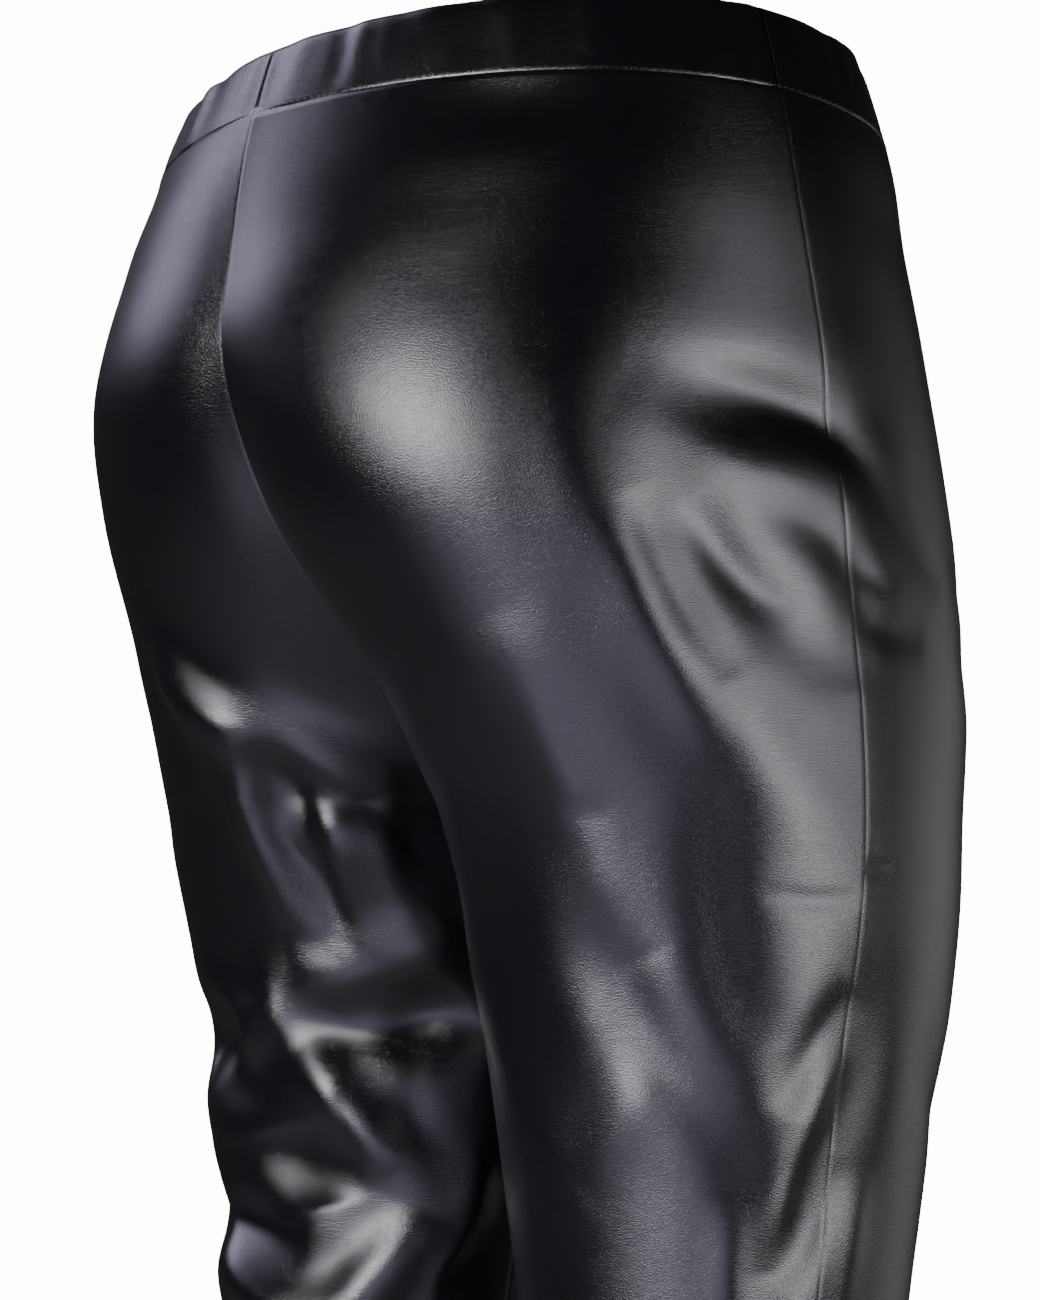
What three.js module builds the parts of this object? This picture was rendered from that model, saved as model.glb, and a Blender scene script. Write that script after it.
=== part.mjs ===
// Slim high-shine satin trousers, shown as worn: four leg panels joined at the outseams, inseams and
// the rise, under a waistband casing cut in four. All sizes are millimetres.
// +X is the wearer's left, +Y the back, +Z up. The origin is the middle of the waist opening.
import * as THREE from 'three';

// Cloth and making
const CLOTH = 1.2;            // wall of a single layer of cloth
const HEM_WALL = 2 * CLOTH;   // the hem is turned up inside
const HEM_DEPTH = 26;
const CASING_WALL = 3.2;      // elastic between two layers of cloth
const CASING_HEIGHT = 25;     // at the middle of the body
const RIPPLE = 0.7;           // how deeply the elastic ripples the casing
const QUARTER_WAIST = 240;    // about a quarter of the way round the waist
const SEAM_GAP = 0.36;        // between two pieces that are sewn edge to edge

// Pose: slopes are rise over run. The waist rises towards the back and falls towards the relaxed left
// leg, where the casing's top edge falls a little more than its seam.
const WAIST_SLOPE = 0.135;
const HIP_SLOPE = 0.1175;
const CASING_SLOPE = 0.033;

// Landmarks
const CROTCH_Z = -252;
const CROTCH_CORNER = 0.5;    // how sharply the two legs meet under the body
const CROTCH_EASE = 60;       // and how far down the inseam that corner rounds off
const INSEAM_Y = -12;
const HEM_Z = -985;
const STANCE_EASE = 90;       // distance from the middle over which the left leg's stance comes in

// How finely the cloth is divided
const BACK_COLUMNS = 18;
const FRONT_COLUMNS = 13;
const RISE_ROWS = 20;
const CASING_COLUMNS = 26;

// One leg and half the seat, by height. outseam and inseam are distances from the middle of the body,
// front and back are depths before and behind it, and side is where the outseam lies between them.
const SECTIONS = [
  { z: 0, outseam: 147, inseam: 0, side: 5, front: 101, back: 106 },
  { z: -25, outseam: 156, inseam: 0, side: 4, front: 108, back: 114 },
  { z: -62, outseam: 164, inseam: 0, side: 2, front: 112, back: 124 },
  { z: -102, outseam: 169, inseam: 0, side: -3, front: 116, back: 133 },
  { z: -147, outseam: 173, inseam: 0, side: -9, front: 117, back: 129 },
  { z: -197, outseam: 177, inseam: 0, side: -13, front: 115, back: 105 },
  { z: -259, outseam: 179, inseam: 0, side: -15, front: 109, back: 76 },
  { z: -317, outseam: 175, inseam: 7, side: -13, front: 103, back: 62 },
  { z: -392, outseam: 164, inseam: 16, side: -10, front: 93, back: 50 },
  { z: -467, outseam: 154, inseam: 26, side: -8, front: 85, back: 42 },
  { z: -567, outseam: 147, inseam: 29, side: -5, front: 76, back: 42 },
  { z: -687, outseam: 143, inseam: 28, side: 0, front: 64, back: 53 },
  { z: -837, outseam: 134, inseam: 31, side: 3, front: 51, back: 52 },
  { z: -985, outseam: 131, inseam: 35, side: 4, front: 46, back: 50 },
];

// The rise seam in the middle plane, from the waist at the back, under the body, to the waist in front.
const BACK_RISE = [
  { y: 115, z: -25 },
  { y: 123, z: -69 },
  { y: 127, z: -105 },
  { y: 110, z: -148 },
  { y: 78, z: -187 },
  { y: 42, z: -217 },
  { y: 12, z: -241 },
  { y: INSEAM_Y, z: CROTCH_Z },
];
const FRONT_RISE = [
  { y: -106, z: -25 },
  { y: -111, z: -77 },
  { y: -111, z: -127 },
  { y: -100, z: -175 },
  { y: -76, z: -217 },
  { y: -43, z: -243 },
  { y: INSEAM_Y, z: CROTCH_Z },
];

// Round the casing's section, from its seam up the outside, over the top and down the inside: share of
// its height, distance out from the skin, and how much of the elastic's ripple shows there.
const CASING_PROFILE = [
  { up: 0, out: 0, ripple: 0.2 },
  { up: 0.4, out: 0.7, ripple: 0.8 },
  { up: 0.85, out: 0.5, ripple: 1 },
  { up: 0.98, out: -0.4, ripple: 1 },
  { up: 1, out: -1.6, ripple: 1 },
  { up: 0.97, out: -2.8, ripple: 1 },
  { up: 0.5, out: -CASING_WALL, ripple: 0.8 },
  { up: 0.05, out: -2.4, ripple: 0.2 },
];

// How many rows of cloth lie below the crotch, by stretch
const LEG_ROWS = [
  { to: -440, rows: 15 },
  { to: -620, rows: 9 },
  { to: HEM_Z + HEM_DEPTH + 2, rows: 9 },
  { to: HEM_Z + HEM_DEPTH, rows: 1 },
  { to: HEM_Z, rows: 1 },
];

// How the relaxed left leg stands apart from the right one, by height
const LEFT_STANCE = [
  { z: 0, outward: -5, forward: 2 },
  { z: -25, outward: -3, forward: 1 },
  { z: -57, outward: -4, forward: 1 },
  { z: -102, outward: -2, forward: 3 },
  { z: -147, outward: -2, forward: 12 },
  { z: -197, outward: -3, forward: 12 },
  { z: -259, outward: 0, forward: 6 },
  { z: -327, outward: 1, forward: 9 },
  { z: -437, outward: 5, forward: 4 },
  { z: -567, outward: 9, forward: 8 },
  { z: -985, outward: 20, forward: -12 },
];

// The largest folds, each from a first point to a second, bowed aside by bow, raised or, below zero, sunk
// by depth, and faded out at width from its line. around is the share of a panel's width from the
// outseam, positive behind it and negative in front; PANEL_REACH is that width for the folds' purposes.
const PANEL_REACH = 270;
const FOLDS = [
  { leg: 'right', around0: -0.12, z0: -128, around1: 0.26, z1: -136, bow: 4, width: 20, depth: -2.5 },
  { leg: 'right', around0: 0.36, z0: -110, around1: 0.08, z1: -270, bow: 8, width: 26, depth: 3 },
  { leg: 'right', around0: 0.24, z0: -150, around1: 0.02, z1: -215, bow: 0, width: 17, depth: -2.5 },
  { leg: 'right', around0: 0.4, z0: -285, around1: 0.12, z1: -385, bow: 6, width: 22, depth: -3.5 },
  { leg: 'right', around0: -0.04, z0: -300, around1: 0.13, z1: -430, bow: -6, width: 20, depth: -3.5 },
  { leg: 'right', around0: 0.7, z0: -250, around1: 0.45, z1: -400, bow: 10, width: 30, depth: 2.5 },
  { leg: 'left', around0: 0.55, z0: -185, around1: 0.7, z1: -290, bow: 10, width: 22, depth: 4 },
  { leg: 'left', around0: 0.77, z0: -215, around1: 0.68, z1: -312, bow: 0, width: 18, depth: -4 },
  { leg: 'left', around0: 0.88, z0: -225, around1: 0.8, z1: -310, bow: 0, width: 20, depth: 3.5 },
  { leg: 'left', around0: 0.55, z0: -318, around1: 1, z1: -326, bow: 0, width: 22, depth: -5 },
  { leg: 'left', around0: 0.6, z0: -325, around1: 0.82, z1: -390, bow: -6, width: 19, depth: 4.5 },
  { leg: 'left', around0: 0.44, z0: -352, around1: 0.8, z1: -358, bow: 36, width: 21, depth: 4.5 },
  { leg: 'left', around0: 0.2, z0: -328, around1: 0.58, z1: -348, bow: 0, width: 22, depth: -5 },
  { leg: 'left', around0: 0.16, z0: -356, around1: 0.52, z1: -366, bow: 0, width: 20, depth: 2.5 },
  { leg: 'left', around0: 0.16, z0: -392, around1: 0.6, z1: -408, bow: 0, width: 18, depth: -6 },
  { leg: 'left', around0: 0.05, z0: -420, around1: 0.66, z1: -446, bow: 6, width: 24, depth: 2.5 },
  { leg: 'left', around0: 0.62, z0: -450, around1: 0.94, z1: -372, bow: 0, width: 18, depth: 3.5 },
  { leg: 'left', around0: -0.08, z0: -140, around1: 0.3, z1: -150, bow: 4, width: 22, depth: -2.5 },
  { leg: 'left', around0: -0.2, z0: -300, around1: -0.7, z1: -390, bow: 8, width: 26, depth: -3.5 },
  { leg: 'left', around0: -0.85, z0: -228, around1: -0.3, z1: -205, bow: 0, width: 22, depth: -3 },
  { leg: 'right', around0: -0.85, z0: -232, around1: -0.25, z1: -200, bow: 0, width: 22, depth: -3 },
  { leg: 'right', around0: -0.3, z0: -330, around1: -0.75, z1: -410, bow: -8, width: 28, depth: -3 },
  { leg: 'right', around0: 0.15, z0: -545, around1: 0.85, z1: -552, bow: 6, width: 24, depth: -4 },
  { leg: 'right', around0: 0.2, z0: -600, around1: 0.8, z1: -585, bow: -6, width: 24, depth: -3.5 },
  { leg: 'left', around0: 0.12, z0: -550, around1: 0.8, z1: -566, bow: 6, width: 26, depth: -5 },
  { leg: 'left', around0: 0.2, z0: -612, around1: 0.85, z1: -598, bow: -6, width: 26, depth: -4 },
  { leg: 'right', around0: -0.9, z0: -890, around1: 0.2, z1: -915, bow: 0, width: 34, depth: -3 },
  { leg: 'left', around0: -0.85, z0: -880, around1: 0.3, z1: -910, bow: 0, width: 36, depth: -3.5 },
];

const lerp = THREE.MathUtils.lerp;
const smoothstep = THREE.MathUtils.smoothstep;

// Smooth value of one column of a table that falls in z, read at a height.
function read(table, column, z) {
  const last = table.length - 1;
  let i = table.findIndex((row) => row.z <= z);
  if (i === 0) return table[0][column];
  if (i < 0) return table[last][column];
  const slope = (k) => {
    const a = table[Math.max(k - 1, 0)];
    const b = table[Math.min(k + 1, last)];
    return (b[column] - a[column]) / (b.z - a.z);
  };
  const [above, below] = [table[i - 1], table[i]];
  const span = below.z - above.z;
  const t = (z - above.z) / span;
  const [t2, t3] = [t * t, t * t * t];
  return (2 * t3 - 3 * t2 + 1) * above[column] + (t3 - 2 * t2 + t) * span * slope(i - 1)
    + (3 * t2 - 2 * t3) * below[column] + (t3 - t2) * span * slope(i);
}

// A rise seam as evenly spaced points in the middle plane, waist first.
function riseSeam(table) {
  const points = table.map((p) => new THREE.Vector3(0, p.y, p.z));
  const curve = new THREE.CatmullRomCurve3(points, false, 'centripetal');
  return curve.getSpacedPoints(RISE_ROWS);
}

const RISE = { back: riseSeam(BACK_RISE), front: riseSeam(FRONT_RISE) };

// Each row's height at the outseam and at the inner edge, which is the rise seam and then the inseam.
function rowHeights(face) {
  const rows = RISE[face].map((p, i) => ({
    outer: lerp(-CASING_HEIGHT, CROTCH_Z, i / RISE_ROWS),
    inner: p.z,
    riseY: p.y,
  }));
  let from = CROTCH_Z;
  for (const stretch of LEG_ROWS) {
    for (let k = 1; k <= stretch.rows; k++) {
      const z = lerp(from, stretch.to, k / stretch.rows);
      rows.push({ outer: z, inner: z });
    }
    from = stretch.to;
  }
  return rows;
}

const rowHeight = (row, s) => lerp(row.outer, row.inner, smoothstep(s, 0, 1));

const FULL_REACH = 0.995;     // beyond this the rise seam lies at the ring's deepest point

// The point of the cloth on a row, at a share s of the way from the outseam to the inner edge.
// The ring is a half ellipse from the outseam round to the inseam. Above the crotch the middle plane
// cuts it off at the rise seam, and near the crotch the cloth runs into the seam at a steeper angle.
function ringPoint(face, row, s) {
  const z = rowHeight(row, s);
  const at = (column) => read(SECTIONS, column, z);
  const peakY = face === 'back' ? at('back') : -at('front');
  const aboveCrotch = row.riseY !== undefined;
  const innerX = aboveCrotch ? 0 : at('inseam');
  const innerY = aboveCrotch ? row.riseY : INSEAM_Y;
  const reach = (innerY - INSEAM_Y) / (peakY - INSEAM_Y);
  const corner = CROTCH_CORNER * (1 - smoothstep(-z, -CROTCH_Z, -CROTCH_Z + CROTCH_EASE));
  const reachOrCorner = THREE.MathUtils.clamp(reach, corner, 1);
  const turn = Math.PI - Math.asin(reachOrCorner);
  const full = reachOrCorner > FULL_REACH;
  const innerBase = full ? INSEAM_Y : (innerY - peakY * reachOrCorner) / (1 - reachOrCorner);
  const angle = s * turn;
  const across = (1 - Math.cos(angle)) / (1 - Math.cos(turn));
  const baseY = lerp(at('side'), innerBase, across ** 3);
  return new THREE.Vector3(
    lerp(at('outseam'), innerX, across),
    baseY + (peakY - baseY) * Math.sin(angle),
    z,
  );
}

// Stands the figure: side is +1 for the left leg and -1 for the right. The pelvis is tilted, and the
// left leg stands apart from the right one, by nothing at the rise seam that the two halves share.
function stance(point, side) {
  const p = new THREE.Vector3(side * point.x, point.y, point.z);
  if (side > 0) {
    const share = Math.max(
      smoothstep(point.x, 0, STANCE_EASE),
      smoothstep(-point.z, -CROTCH_Z, -CROTCH_Z + CROTCH_EASE),
    );
    p.x += share * read(LEFT_STANCE, 'outward', point.z);
    p.y -= share * read(LEFT_STANCE, 'forward', point.z);
  }
  p.z += smoothstep(point.z, CROTCH_Z, 0) * (WAIST_SLOPE * p.y - HIP_SLOPE * p.x);
  return p;
}

function skinPoint(side, face, row, s) {
  return stance(ringPoint(face, row, s), side);
}

// How far the folds raise or sink a leg's cloth at a place. They fade out at the inner edges.
function foldDepth(leg, around, z) {
  const place = new THREE.Vector2(around * PANEL_REACH, z);
  const sum = FOLDS.filter((fold) => fold.leg === leg).reduce((total, fold) => {
    const start = new THREE.Vector2(fold.around0 * PANEL_REACH, fold.z0);
    const run = new THREE.Vector2(fold.around1 * PANEL_REACH, fold.z1).sub(start);
    const offset = place.clone().sub(start);
    const t = THREE.MathUtils.clamp(offset.dot(run) / run.lengthSq(), 0, 1);
    const aside = run.cross(offset) / run.length() - fold.bow * 4 * t * (1 - t);
    const near = Math.min(Math.abs(aside) / fold.width, 1);
    return total + fold.depth * Math.sin(Math.PI * t) ** 0.7 * (1 + Math.cos(Math.PI * near)) / 2;
  }, 0);
  return sum * (1 - smoothstep(Math.abs(around), 0.9, 1));
}

// A panel's rows of points from the waist to the hem, from the outseam to the inner edge, without folds.
function panelSkin(side, face) {
  const columns = face === 'back' ? BACK_COLUMNS : FRONT_COLUMNS;
  return rowHeights(face).map((row) => Array.from({ length: columns + 1 }, (_, j) => (
    skinPoint(side, face, row, j / columns))));
}

// The same points with the folds raised and sunk along the normals.
function foldedSkin({ leg, face, grid }, normalAt) {
  const rows = rowHeights(face);
  return grid.map((line, i) => line.map((p, j) => {
    const s = j / (line.length - 1);
    const around = face === 'back' ? s : -s;
    return p.clone().addScaledVector(normalAt(p), foldDepth(leg, around, rowHeight(rows[i], s)));
  }));
}

// Outward normals of several skins at once, so that pieces that share a seam share its normals.
function sharedNormals(skins) {
  const sums = new Map();
  const key = (p) => p.toArray().map((v) => Math.round(v * 20)).join();
  const edgeA = new THREE.Vector3();
  const edgeB = new THREE.Vector3();
  for (const { grid, flip } of skins) {
    for (let i = 0; i + 1 < grid.length; i++) {
      for (let j = 0; j + 1 < grid[i].length; j++) {
        const corners = [grid[i][j], grid[i][j + 1], grid[i + 1][j + 1], grid[i + 1][j]];
        edgeA.subVectors(corners[2], corners[0]);
        edgeB.subVectors(corners[3], corners[1]);
        const normal = edgeA.clone().cross(edgeB).multiplyScalar(flip ? -1 : 1);
        for (const corner of corners) {
          const k = key(corner);
          sums.set(k, (sums.get(k) ?? new THREE.Vector3()).add(normal));
        }
      }
    }
  }
  return (p) => sums.get(key(p)).clone().normalize();
}

// Draws a grid's edges in from its three seams, each by half the seam gap. The hem is no seam. The rise
// seam's edge moves straight away from the middle plane, so its gap is even.
function drawnIn(grid, side) {
  const lastColumn = grid[0].length - 1;
  const drawn = grid.map((row) => row.map((p) => p.clone()));
  const draw = (i, j, nextI, nextJ) => {
    const way = grid[nextI][nextJ].clone().sub(grid[i][j]).normalize();
    drawn[i][j].addScaledVector(way, SEAM_GAP / 2);
  };
  for (let i = 0; i < grid.length; i++) {
    draw(i, 0, i, 1);
    if (i >= RISE_ROWS) draw(i, lastColumn, i, lastColumn - 1);
    if (i <= RISE_ROWS) drawn[i][lastColumn].x = side * SEAM_GAP / 2;
  }
  for (let j = 0; j <= lastColumn; j++) draw(0, j, 1, j);
  return drawn;
}

// A closed wall between an outer and an inner grid of points.
function wallGeometry(outer, inner, flip) {
  const rows = outer.length;
  const columns = outer[0].length;
  const positions = [...outer, ...inner].flatMap((row) => row.flatMap((p) => p.toArray()));
  const at = (layer, i, j) => (layer * rows + i) * columns + j;
  const index = [];
  const quad = (a, b, c, d) => (flip ? index.push(a, c, b, a, d, c) : index.push(a, b, c, a, c, d));
  for (let i = 0; i + 1 < rows; i++) {
    for (let j = 0; j + 1 < columns; j++) {
      quad(at(0, i, j), at(0, i, j + 1), at(0, i + 1, j + 1), at(0, i + 1, j));
      quad(at(1, i, j), at(1, i + 1, j), at(1, i + 1, j + 1), at(1, i, j + 1));
    }
  }
  for (let j = 0; j + 1 < columns; j++) {
    quad(at(0, 0, j + 1), at(0, 0, j), at(1, 0, j), at(1, 0, j + 1));
    quad(at(0, rows - 1, j), at(0, rows - 1, j + 1), at(1, rows - 1, j + 1), at(1, rows - 1, j));
  }
  for (let i = 0; i + 1 < rows; i++) {
    quad(at(0, i, 0), at(0, i + 1, 0), at(1, i + 1, 0), at(1, i, 0));
    quad(at(0, i + 1, columns - 1), at(0, i, columns - 1), at(1, i, columns - 1), at(1, i + 1, columns - 1));
  }
  const geometry = new THREE.BufferGeometry();
  geometry.setAttribute('position', new THREE.Float32BufferAttribute(positions, 3));
  geometry.setIndex(index);
  geometry.computeVertexNormals();
  return geometry;
}

// A closed wall swept through rings of points, with flat ends.
function sweptGeometry(rings, flip) {
  const around = rings[0].length;
  const index = [];
  const triangle = (a, b, c) => (flip ? index.push(a, c, b) : index.push(a, b, c));
  for (let j = 0; j + 1 < rings.length; j++) {
    for (let k = 0; k < around; k++) {
      const next = (k + 1) % around;
      const [a, b] = [j * around + k, j * around + next];
      triangle(a, b, b + around);
      triangle(a, b + around, a + around);
    }
  }
  const last = (rings.length - 1) * around;
  for (let k = 1; k + 1 < around; k++) {
    triangle(0, k + 1, k);
    triangle(last, last + k, last + k + 1);
  }
  const geometry = new THREE.BufferGeometry();
  const positions = rings.flat().flatMap((p) => p.toArray());
  geometry.setAttribute('position', new THREE.Float32BufferAttribute(positions, 3));
  geometry.setIndex(index);
  geometry.computeVertexNormals();
  return geometry;
}

// The casing's skin at a height over its seam and a share s from the outseam to the middle.
function casingSkinPoint(side, face, up, s) {
  const z = lerp(-CASING_HEIGHT, 0, up);
  const seamY = RISE[face][0].y;
  const lean = (read(SECTIONS, face, z) - read(SECTIONS, face, -CASING_HEIGHT)) * Math.sign(seamY);
  const point = skinPoint(side, face, { outer: z, inner: z, riseY: seamY + lean }, s);
  point.z -= CASING_SLOPE * up * point.x;
  return point;
}

// The elastic's ripple along a quarter of the waist, uneven in spacing and depth, nothing at its seams.
function elasticRipple(s, side, face) {
  const phase = (side > 0 ? 1.3 : 0) + (face === 'back' ? 0 : 2.1);
  const wave = Math.sin(41 * s + phase + 1.4 * Math.sin(9 * s)) * (0.7 + 0.3 * Math.sin(17 * s + phase));
  return RIPPLE * wave * Math.min(1, 12 * Math.min(s, 1 - s));
}

function casingGeometry(side, face) {
  const rings = Array.from({ length: CASING_COLUMNS + 1 }, (_, j) => {
    const s = j / CASING_COLUMNS;
    const low = casingSkinPoint(side, face, 0, s);
    const up = casingSkinPoint(side, face, 1, s).sub(low);
    const nearby = s < 0.5 ? [s, s + 0.02] : [s - 0.02, s];
    const along = casingSkinPoint(side, face, 0, nearby[1]).sub(casingSkinPoint(side, face, 0, nearby[0]));
    if (j === 0) along.set(0, face === 'back' ? 1 : -1, 0);
    if (j === CASING_COLUMNS) along.set(-side, 0, 0);
    const out = along.cross(up).normalize();
    if (!turned(side, face)) out.negate();
    const inward = (j === 0 ? 1 : 0) - (j === CASING_COLUMNS ? 1 : 0);
    const ripple = elasticRipple(s, side, face);
    return CASING_PROFILE.map((edge) => {
      const height = lerp(SEAM_GAP / 2 / CASING_HEIGHT, 1, edge.up);
      return casingSkinPoint(side, face, height, s + inward * SEAM_GAP / 2 / QUARTER_WAIST)
        .addScaledVector(out, edge.out + edge.ripple * ripple);
    });
  });
  return sweptGeometry(rings, turned(side, face));
}

const satin = new THREE.MeshStandardMaterial({ color: 0x17171b, roughness: 0.32, metalness: 0 });

const HALVES = [{ name: 'right', side: -1 }, { name: 'left', side: 1 }];
const FACES = ['back', 'front'];

// Which way round a piece's grid runs, so that its faces point outwards.
const turned = (side, face) => (side > 0) === (face === 'back');

function buildTrousers() {
  const trousers = new THREE.Group();
  trousers.name = 'satin_trousers';
  const smooth = HALVES.flatMap(({ name, side }) => FACES.map((face) => ({
    leg: name, side, face, grid: panelSkin(side, face), flip: turned(side, face),
  })));
  const smoothNormalAt = sharedNormals(smooth);
  const skins = smooth.map((skin) => ({ ...skin, grid: foldedSkin(skin, smoothNormalAt) }));
  const normalAt = sharedNormals(skins);
  for (const { leg, side, face, grid, flip } of skins) {
    const inner = grid.map((row, i) => row.map((p) => (
      p.clone().addScaledVector(normalAt(p), i >= grid.length - 2 ? -HEM_WALL : -CLOTH))));
    const panel = new THREE.Mesh(wallGeometry(drawnIn(grid, side), drawnIn(inner, side), flip), satin);
    panel.name = `panel_${face}_${leg}`;
    trousers.add(panel);
  }
  for (const { name, side } of HALVES) {
    for (const face of FACES) {
      const casing = new THREE.Mesh(casingGeometry(side, face), satin);
      casing.name = `casing_${face}_${name}`;
      trousers.add(casing);
    }
  }
  return trousers;
}

const satinTrousers = buildTrousers();

export default satinTrousers;
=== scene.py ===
"""Slim glossy satin trousers in their worn form: four leg panels sewn together at the outseams, inseams
and rise, and a stitched elastic casing round the waist, cut in four. Lengths in CREASES and in the casing's
profiles are millimetres; all others are metres. +X is the wearer's left, +Y the back, +Z up."""

import math

import bmesh
import bpy
import numpy as np
from bpy.props import FloatProperty, FloatVectorProperty, IntProperty, PointerProperty
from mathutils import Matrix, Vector


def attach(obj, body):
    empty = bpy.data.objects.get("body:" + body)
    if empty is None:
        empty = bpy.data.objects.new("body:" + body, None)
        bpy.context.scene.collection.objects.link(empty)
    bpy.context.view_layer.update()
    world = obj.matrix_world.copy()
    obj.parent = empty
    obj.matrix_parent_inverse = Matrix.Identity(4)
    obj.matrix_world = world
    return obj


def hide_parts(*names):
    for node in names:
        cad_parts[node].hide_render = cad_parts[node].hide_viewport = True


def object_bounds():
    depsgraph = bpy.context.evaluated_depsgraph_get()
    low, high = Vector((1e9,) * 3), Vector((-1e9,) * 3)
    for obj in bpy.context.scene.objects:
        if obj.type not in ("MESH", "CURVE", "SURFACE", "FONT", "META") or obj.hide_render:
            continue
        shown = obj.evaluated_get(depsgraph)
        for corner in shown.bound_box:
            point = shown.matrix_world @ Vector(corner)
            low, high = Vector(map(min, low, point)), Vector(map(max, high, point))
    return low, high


bl_info = {
    "name": "Satin trousers",
    "version": (1, 0, 0),
    "blender": (4, 5, 0),
    "location": "View3D > Sidebar > Trousers",
    "description": "Dresses slim satin trousers: leg panels, elastic waist casing and stitching",
    "category": "Add Mesh",
}

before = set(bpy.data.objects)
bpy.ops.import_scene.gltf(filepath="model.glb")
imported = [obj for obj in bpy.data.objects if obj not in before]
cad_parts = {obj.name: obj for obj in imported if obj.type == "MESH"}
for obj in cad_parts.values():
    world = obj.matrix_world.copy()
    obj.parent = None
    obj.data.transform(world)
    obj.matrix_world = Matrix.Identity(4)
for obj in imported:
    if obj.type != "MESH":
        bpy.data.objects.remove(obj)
CAD_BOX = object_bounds()
MM = 0.001
SEAM_GAP = 0.36 * MM    # between two solids that are sewn edge to edge
WALL_EDGE = 1.7 * MM    # faces with an edge shorter than this are the rim of a panel's wall
SKIN_TURN = 62          # degrees: neighbouring faces of one skin meet at less than this
MERGE = 1e-5            # corners of a solid's loose triangles closer than this are one
CASING_POINTS = 8       # points round each section of a casing solid
TUCK = 2.4 * MM         # how far a panel's top edge runs up inside the casing
TOP_FOLD = 1.6 * MM     # how far in from its face the casing's top edge folds over
STITCH_HEIGHT = 0.03    # of the casing's height, above its lower edge
STITCH_PROUD = 0.05 * MM    # how far the middle of a stitch stands out of the cloth's face
SMOOTH_ANGLE = 48       # degrees: edges sharper than this stay sharp
HALVES = ("right", "left")
FACES = ("back", "front")

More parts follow.
